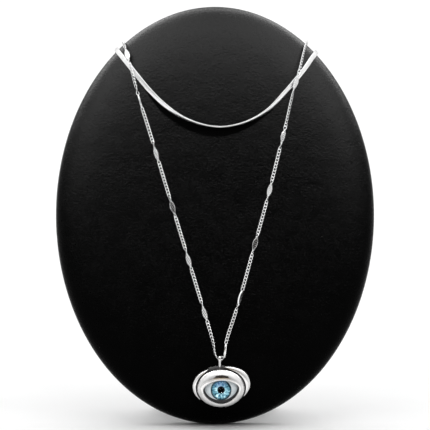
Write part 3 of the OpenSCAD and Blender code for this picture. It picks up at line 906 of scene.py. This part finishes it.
def add_eyes(shape, place, wide, along, thin):
    eye_r = 0.32
    eye_wire = 0.13
    eye_deep = 0.169
    steps = 20
    sides = 8
    for end in (-1, 1):
        centre = place + along * (end * EYE_AT)
        rings = []
        for t in turns(steps):
            outward = wide * cos(t) + along * sin(t)
            rings.append([
                centre + outward * (eye_r + eye_wire * cos(a)) + thin * (eye_deep * sin(a))
                for a in turns(sides)])
        shape.skin(rings, closed=True)


def station(i, silver, slot_metal):
    here, along, wide, thin = long_route.frame(station_stops[i], STATION_TURNS[i])
    origin = stand((0, 0, 0))
    name = f"station_{i + 1:02d}"
    shape = Shape()
    ways = [stand(way) - origin for way in (wide, along, thin)]
    add_station(shape, stand(here), *ways)
    return shape.piece("ribbed_" + name, "display", [silver, slot_metal], "silver", [name], sharp=50)


# Pendant outlines, as in its solids: a point at an angle on a tilted oval, across and up from the bail
def oval(w, above, below, mid, tilt, power, angle):
    x = w / 2 * signed_power(cos(angle), 2 / power)
    z = (below if sin(angle) < 0 else above) * signed_power(sin(angle), 2 / power)
    t = radians(tilt)
    return mid + Vector((x * cos(t) - z * sin(t), x * sin(t) + z * cos(t)))


def shell_line(angle):
    return oval(SHELL_W, SHELL_H / 2, SHELL_H / 2, SHELL_MID, SHELL_TILT, SHELL_POWER, angle)


def lid_line(angle):
    return oval(LID_W, LID_H / 2, LID_H / 2, LID_MID, LID_TILT, LID_POWER, angle)


def eye_line(angle, less=0.0, tuck=0.0):
    """The opening, or a line inside it by less. With a tuck it goes on up behind the lid."""
    above = EYE_H * EYE_SHARE + tuck - less
    below = EYE_H * (1 - EYE_SHARE) - less
    return oval(EYE_W - 2 * less, above, below, EYE_MID, EYE_TILT, EYE_POWER, angle)


def groove_open(angle):
    """How open the groove is to the outline, from 0 at the sides to 1 at the top."""
    return exp(-((angle - OPEN_ANGLE) / OPEN_HALF) ** 4)


def shell_out(angle):
    return (shell_line(angle) - LID_MID).normalized()


def crescent_w(angle):
    """The crescent's width, from the room between the shell's outline and the lid's."""
    way = shell_out(angle)
    room = (shell_line(angle) - LID_MID).length - 1 / hypot(2 * way.x / LID_W, 2 * way.y / LID_H)
    return max(CRESCENT_LEAST, (0.92 * room - 0.35) * (1 - groove_open(angle)))


def groove_line(angle):
    return shell_line(angle) - crescent_w(angle) * shell_out(angle)


def at_bail(p, d):
    """A point of the pendant: across and up from the bail, and a depth forward."""
    return stand(BAIL_PLACE) + Vector((p[0], -d, p[1]))


def ball_depth(p):
    """Depth of the eye ball's surface at a point."""
    return EYE_FRONT - sag(EYE_BALL_R, (p - IRIS_MID).length)


PENDANT_ANGLES = turns(240)
# The shell's back and edge, as the share of the way out to its outline, and the depth
SHELL_ROWS = ((0.84, -2.6), (0.9, -2.58), (0.94, -2.46), (0.975, -2.15), (1, -1.6), (1.003, -1))
# A crescent, as the share of the way in from the shell's outline to the groove, and the depth
CRESCENT_ROWS = ((0, -0.5), (0.12, 0.25), (0.35, 0.85), (0.65, 1.2), (0.94, CRESCENT_TOP))
CRESCENT_EDGE = ((0.99, CRESCENT_TOP - 0.12), (1, CRESCENT_TOP - 0.4))


def back_shell(silver, oxidised):
    """The shell: a flat back, a rounded edge, a crescent on each side and the dark floor of the groove."""
    rings = [[at_bail(mix(SHELL_MID, shell_line(a), share), depth) for a in PENDANT_ANGLES]
             for share, depth in SHELL_ROWS]
    for share, depth in (*curve(CRESCENT_ROWS, 4, 2), *CRESCENT_EDGE):
        ring = []
        for a in PENDANT_ANGLES:
            full = min(1, (crescent_w(a) - CRESCENT_LEAST) / 0.4)
            low = GROOVE_FLOOR + 0.1 * (share - 1)
            ring.append(at_bail(mix(shell_line(a), groove_line(a), share), mix(low, depth, full)))
        rings.append(ring)
    kinds = [0] * (len(rings) - 1) + [1, 1]
    for share in (0.005, 0.9):
        rings.append([at_bail(mix(groove_line(a), LID_MID, share), GROOVE_FLOOR) for a in PENDANT_ANGLES])
    shape = Shape()
    shape.skin(rings, kinds=kinds)
    return shape.piece("shell", "pendant", [silver, oxidised], "bright_silver", ["back_shell"])


LID_EDGE = 4.5
# The lid's form, as the share of the way in from its outline to the opening, and the depth
LID_ROWS = [
    (0.04, -1.2), (0, -0.9), (0, 1.6), (0.015, 2.2), (0.059, 2.52), (0.137, 2.97), (0.226, 3.41),
    (0.315, 3.79), (0.404, 4.09), (0.504, 4.35), (0.605, 4.55), (0.705, 4.7), (0.794, 4.79),
    (0.883, LID_FRONT), (0.947, 4.8), (0.985, 4.67), (1, LID_EDGE)]
LID_STEPS = 4
# How much the lid falls towards its corners, as a share
CORNER_FALL = 0.22
# The opening's inner side: share of the seat's width, share of its height, and material
SEAT_ROWS = (
    (0.05, 0.93, 2), (0.1, 0.7, 2), (0.28, 0.42, 2), (0.34, 0.48, 1), (0.44, 0.48, 2), (0.5, 0.4, 2),
    (0.6, 0.12, 2), (1, 0.06, 2))


def lid_depth(d, a):
    return d * (1 - CORNER_FALL * cos(a) ** 2) if d > 0 else d


def seat_width(a):
    """The seat shows most under the eye, where the view looks down on it."""
    return mix(0.3, 1.3, (0.5 - 0.5 * sin(a)) ** 1.5)


def eyelid(silver, oxidised, seat_oxide_and_shade):
    """The lid as one ring of metal round its opening, with its peg and its bail."""
    inner_inset = 0.5
    rings = []
    kinds = []
    for share, depth in curve(LID_ROWS, LID_STEPS, 2):
        rings.append([
            at_bail(mix(lid_line(a), eye_line(a), share), lid_depth(depth, a)) for a in PENDANT_ANGLES])
        kinds.append(1 if depth < 1.2 else 0)
    for share, height, kind in SEAT_ROWS:
        ring = []
        for a in PENDANT_ANGLES:
            p = eye_line(a, share * seat_width(a), EYE_TUCK * smooth(0, 0.3, share))
            ring.append(at_bail(p, mix(ball_depth(p), lid_depth(LID_EDGE, a), height)))
        rings.append(ring)
        kinds.append(kind)
    for depth in (-0.9, GROOVE_FLOOR + CLEAR):
        rings.append([at_bail(eye_line(a, inner_inset, EYE_TUCK), depth) for a in PENDANT_ANGLES])
        kinds.append(1)
    shape = Shape()
    shape.skin(rings, closed=True, kinds=kinds)
    add_peg(shape)
    add_bail(shape)
    return shape.piece("eyelid", "pendant", [silver, oxidised, seat_oxide_and_shade], "bright_silver", ["eyelid_dome"])


def add_peg(shape):
    """The peg between the lid and the bail, as radius and height over the bail's foot."""
    peg_rows = ((0.42, -1.15), (0.33, -0.95), (0.3, -0.7), (0.3, -0.2), (0.36, 0), (0.4, 0.15))
    sides = 24
    shape.skin([
        [at_bail((r * cos(a), BAIL_BASE + up), r * sin(a)) for a in turns(sides)]
        for r, up in peg_rows])


def add_bail(shape):
    """The bail: a domed band bent to a ring that is wide at its top and narrow at its foot."""
    top = (BAIL_TOP - BAIL_TOP_R, BAIL_TOP_R - BAIL_WIRE / 2)
    base = (BAIL_BASE + BAIL_BASE_R, BAIL_BASE_R - BAIL_WIRE / 2)
    lean = asin((top[1] - base[1]) / (top[0] - base[0]))
    arc_steps = 28
    stops = [(top, mix(-lean, pi + lean, i / arc_steps)) for i in range(arc_steps + 1)]
    stops += [(base, mix(pi + lean, tau - lean, i / arc_steps)) for i in range(arc_steps + 1)]
    sides = 20
    rings = []
    for (up, r), a in stops:
        forward, rise = cos(a), sin(a)
        width = mix(BAIL_W, BAIL_FOOT_W, smooth(1, -4, up + r * rise))
        ring = []
        for t in turns(sides):
            x = width / 2 * signed_power(cos(t), 0.75)
            lift = BAIL_WIRE / 2 * signed_power(sin(t), 0.85)
            ring.append(at_bail((x, up + (r + lift) * rise), (r + lift) * forward))
        rings.append(ring)
    shape.skin(rings, closed=True)


# The glass eye
def eye_white(glass):
    """The white: the ball's surface from under the lid to the iris pocket, and a plain back."""
    gap = 0.06
    steps = 20
    outer = [eye_line(a, WHITE_INSET, EYE_TUCK) for a in PENDANT_ANGLES]
    pocket = [IRIS_MID + (IRIS_D / 2 + gap) * way_at(a) for a in PENDANT_ANGLES]
    rings = [[at_bail(mix(p, IRIS_MID, share), depth) for p in outer]
             for share, depth in ((0.08, -1.1), (0, -0.8), (0, 0))]
    for i in range(steps + 1):
        line = [mix(p, q, i / steps) for p, q in zip(outer, pocket)]
        rings.append([at_bail(p, ball_depth(p)) for p in line])
    rings.append([at_bail(p, IRIS_DEEP - gap) for p in pocket])
    shape = Shape()
    shape.skin(rings)
    return shape.piece("eye_ball", "pendant", [glass], "eye_white", ["eye_white"])


def round_piece(name, rows, steps_around, material, slot, node):
    """A piece of the eye turned about the iris's axis, as radius and depth from back to front."""
    shape = Shape()
    shape.skin([[at_bail(IRIS_MID + r * way_at(a), depth) for a in turns(steps_around)] for r, depth in rows])
    return shape.piece(name, "pendant", [material], slot, [node])


def iris(glass):
    """A dished disc: its face falls from the rim towards the pupil's seat."""
    outer, inner = IRIS_D / 2, PUPIL_D / 2 + 0.04
    front = IRIS_DEEP + IRIS_T
    seat = front - 0.2
    ease = 0.05
    dish = 0.16
    face_steps = 16
    rows = [(0.05, IRIS_DEEP), (outer * 0.97, IRIS_DEEP), (outer, IRIS_DEEP + ease), (outer, front - ease)]
    for i in range(face_steps + 1):
        share = i / face_steps
        rows.append((mix(outer - 0.04, inner, share), front - dish * sin(pi / 2 * share)))
    rows += [(inner - 0.01, seat), (0.05, seat)]
    return round_piece("iris_disc", rows, 192, glass, "iris", "iris")


def pupil(glass):
    """A low dome in the iris's middle."""
    r = PUPIL_D / 2
    base = IRIS_DEEP + IRIS_T - 0.19
    rows = [(0.05, base), (r * 0.96, base), (r, base + 0.03)]
    dome_rise = 0.14
    dome_steps = 8
    for i in range(dome_steps):
        a = pi / 2 * i / dome_steps
        rows.append((r * cos(a), base + 0.05 + dome_rise * sin(a)))
    return round_piece("pupil_dome", rows, 96, glass, "pupil", "pupil")


def cornea(glass):
    """The clear dome over the iris, flat behind."""
    base = IRIS_DEEP + IRIS_T + 0.08
    edge_r = IRIS_D / 2 - 0.03
    rise = CORNEA_FRONT - ball_depth(IRIS_MID + Vector((edge_r, 0)))
    ball_r = (edge_r ** 2 + rise ** 2) / (2 * rise)
    rows = [(0.02, base), (edge_r - 0.06, base), (edge_r, base + 0.05)]
    steps = 40
    for i in range(steps):
        r = edge_r * cos(pi / 2 * i / steps)
        rows.append((r, CORNEA_FRONT - sag(ball_r, r)))
    piece = round_piece("cornea_glass", rows, 192, glass, "cornea", "cornea")
    piece.visible_shadow = False
    return piece


# Camera, at the photograph's angle: square to the board
CAMERA_UP = radians(10)
CAMERA_AWAY_M = 0.7
FRAME_MM = 189.2
AIM = (0, 91.9, 15)


def make_camera():
    data = bpy.data.cameras.new("camera")
    data.type = "ORTHO"
    data.ortho_scale = FRAME_MM * MM
    camera = into_scene("camera", data)
    back = Vector((0, -cos(CAMERA_UP), sin(CAMERA_UP)))
    camera.location = stand(AIM) * MM + back * CAMERA_AWAY_M
    camera.rotation_euler = (pi / 2 - CAMERA_UP, 0, 0)
    bpy.context.scene.camera = camera


# Light: a pale studio, brighter overhead, with a dim patch in front, low down
ROOM_LIGHT = 1.15
# Grey of the room at each height, from level with the object to overhead, as shares of ROOM_LIGHT
ROOM_GREYS = ((0.0, 0.85), (0.3, 0.85), (0.7, 1.0), (1.0, 1.45))
DIM_UP = radians(4)
DIM_INSIDE = radians(14)
DIM_OUTSIDE = radians(58)
DIM_GREY = 0.34


def make_room():
    world = bpy.data.worlds.new("studio")
    bpy.context.scene.world = world
    room = Nodes(world)
    way = room.node("TexCoord").outputs["Generated"]
    sky = room.ramp(room.part(way, "Z"), *ROOM_GREYS)
    facing = room.vector("DOT_PRODUCT", way, (0, -cos(DIM_UP), sin(DIM_UP)))
    patch = room.ramp(facing, (cos(DIM_OUTSIDE), 1), (cos(DIM_INSIDE), DIM_GREY))
    background = room.nodes["Background"].inputs
    room.links.new(room.blend(1.0, sky, patch, "MULTIPLY"), background["Color"])
    background["Strength"].default_value = ROOM_LIGHT


def studio_mesh(name, points, faces, finish):
    """A piece of the studio, which is no part of the object."""
    mesh = bpy.data.meshes.new(name)
    mesh.from_pydata(points, [], faces)
    mesh.materials.append(finish.material)
    return into_scene(name, mesh)


# A dark card leans over the front, unseen by the camera: what polished metal shows of whoever looks at it.
# Its rows are half width, place on Y, and height, from its foot up.
CARD_ROWS = ((70, -190, 52), (52, -160, 78), (40, -108, 114))
CARD_SKEW = 0.06


def make_card():
    points = []
    for half, y, z in CARD_ROWS:
        points += [Vector((side * half + CARD_SKEW * z, y, z)) * MM for side in (-1, 1)]
    faces = [(2 * i, 2 * i + 1, 2 * i + 3, 2 * i + 2) for i in range(len(CARD_ROWS) - 1)]
    cloth = Finish("dark_cloth", Roughness=0.9, Specular_IOR_Level=0.1)
    height = cloth.part(cloth.place, "Z")
    share = cloth.math("DIVIDE", height, CARD_ROWS[-1][2] * MM)
    cloth.into("Base Color", share, (0.57, (0.6, 0.5, 0.38)), (0.68, (0.03, 0.022, 0.016)))
    card = studio_mesh("dark_card", points, faces, cloth)
    card.visible_camera = False
    card.visible_shadow = False
    card.visible_diffuse = False


def lit_alone(label, pieces):
    """A collection for the pieces that a light reaches."""
    lit = bpy.data.collections.new("lit_by_" + label)
    for piece in pieces:
        lit.objects.link(piece)
    return lit


def make_light(name, place, aim, wide, high, grey, lit):
    """A soft light, with its places and its width and height in metres."""
    data = bpy.data.lights.new(name, "AREA")
    data.shape = "RECTANGLE"
    data.size = wide
    data.size_y = high
    data.energy = grey * wide * high * pi
    light = into_scene(name, data)
    light.location = place
    light.rotation_euler = (place - aim).to_track_quat("Z", "Y").to_euler()
    light.visible_camera = False
    light.light_linking.receiver_collection = lit


# Soft boxes a metre from the board's middle, each lighting some pieces alone. Each row is degrees round from
# the front, degrees up, width and height in metres, and brightness. The board's are bands over the front and
# two at each side, because it is far duller than the silver, and the links have one in front.
LINK_BOXES = ((0, 12, 1.5, 1.2, 0.75),)
BOARD_BOXES = (
    (0, 35, 3.0, 0.19, 18), (0, 53, 3.0, 0.6, 42), (0, 84, 2.6, 0.5, 27), (-105, 50, 1.6, 1.2, 14.5),
    (105, 50, 1.6, 1.2, 13), (-142, 45, 1.0, 1.0, 13), (142, 45, 1.0, 1.0, 13))


def make_boxes(label, boxes, pieces):
    lit = lit_alone(label, pieces)
    middle = stand(AIM) * MM
    for i, (degrees_round, degrees_up, wide, high, grey) in enumerate(boxes):
        turned, up = radians(degrees_round), radians(degrees_up)
        way = Vector((sin(turned) * cos(up), -cos(turned) * cos(up), sin(up)))
        make_light(f"{label}_{i + 1}", middle + way, middle, wide, high, grey, lit)


# Lamps low in front, each lighting some pieces alone: a small one for the glint on the cornea, and a soft one
# over the floor for the lid's underside. Each is a place, width and height in millimetres, and a brightness.
GLINT = ((3.5, -75, 3.9), 2.8, 2.8, 420)
UNDER_LID = ((0, -85, 4), 150, 70, 0.38)


def make_lamp(name, row, pieces):
    place, wide, high, grey = row
    aim = at_bail(IRIS_MID, CORNEA_FRONT) * MM
    make_light(name, Vector(place) * MM, aim, wide * MM, high * MM, grey, lit_alone(name, pieces))


def make_floor():
    half_m = 3.2
    corners = [(-half_m, -half_m, 0), (half_m, -half_m, 0), (half_m, half_m, 0), (-half_m, half_m, 0)]
    paper = Finish("floor_paper", Roughness=0.9, Specular_IOR_Level=0.1)
    paper.into("Base Color", paper.noise(40), (0.3, 0.92), (0.7, 0.94))
    floor = studio_mesh("floor", corners, [(0, 1, 2, 3)], paper)


make_camera()
make_room()
make_floor()
make_card()
bpy.context.scene.view_settings.view_transform = "Standard"

# Materials by name
leatherette = leatherette_finish()
backing = backing_finish()
leg_card = leg_board_finish()
dark_metal = dark_metal_finish()
silver = silver_finish("silver", 0.96, 0.84, 0.2, 0.01)
flat_silver = silver_finish("flat_silver", 0.9, 0.8, 0.22, 0.03)
bright_silver = silver_finish("bright_silver", (0.75, 0.745, 0.74), (0.65, 0.645, 0.64), 0.13, 0.07)
oxidised = oxidised_finish("oxidised_silver", (0.13, 0.13, 0.135), (0.24, 0.235, 0.235))
# The seat round the eye: oxidised silver, painted darker still as painted shade in the gap round the eye.
seat_oxide_and_shade = oxidised_finish("seat_oxide_and_shade", (0.055, 0.055, 0.058), 0.13)
# A darker oxide for two stations' slots, as painted shade.
shaded_oxide_slots = oxidised_finish("shaded_oxide_slots", 0.02, 0.05)

# Pieces
make_boxes("board_box", BOARD_BOXES, [board(leatherette, backing)])
easel_leg(leg_card)
flat_chain(flat_silver)
stations = STATIONS_LEFT + STATIONS_RIGHT
links = [
    curb_chain("curb_links_left", [silver, oxidised], 0, STATIONS_LEFT, "curb_chain_left"),
    curb_chain("curb_links_right", [silver, oxidised], STATIONS_LEFT + 1, stations, "curb_chain_right")]
make_boxes("link_box", LINK_BOXES, links)
# Painted highlight and painted shade: a few stations get polished or darker slots than the rest.
slot_metals = dict.fromkeys(PAINTED_LIT_STATIONS, silver) | dict.fromkeys(PAINTED_SHADED_STATIONS, shaded_oxide_slots)
for number in range(stations):
    station(number, silver, slot_metals.get(number, oxidised))
lid_pieces = [back_shell(bright_silver, oxidised), eyelid(bright_silver, oxidised, seat_oxide_and_shade)]
make_lamp("under_lid", UNDER_LID, lid_pieces)
eye_white(eye_white_finish())
iris(iris_finish())
pupil(pupil_finish())
make_lamp("glint", GLINT, [cornea(cornea_finish())])

# CAD nodes that keep their own solids
for node_name, material in (("clasp_peg", dark_metal), ("clasp", silver)):
    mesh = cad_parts[node_name].data
    mesh.materials.clear()
    mesh.materials.append(material)
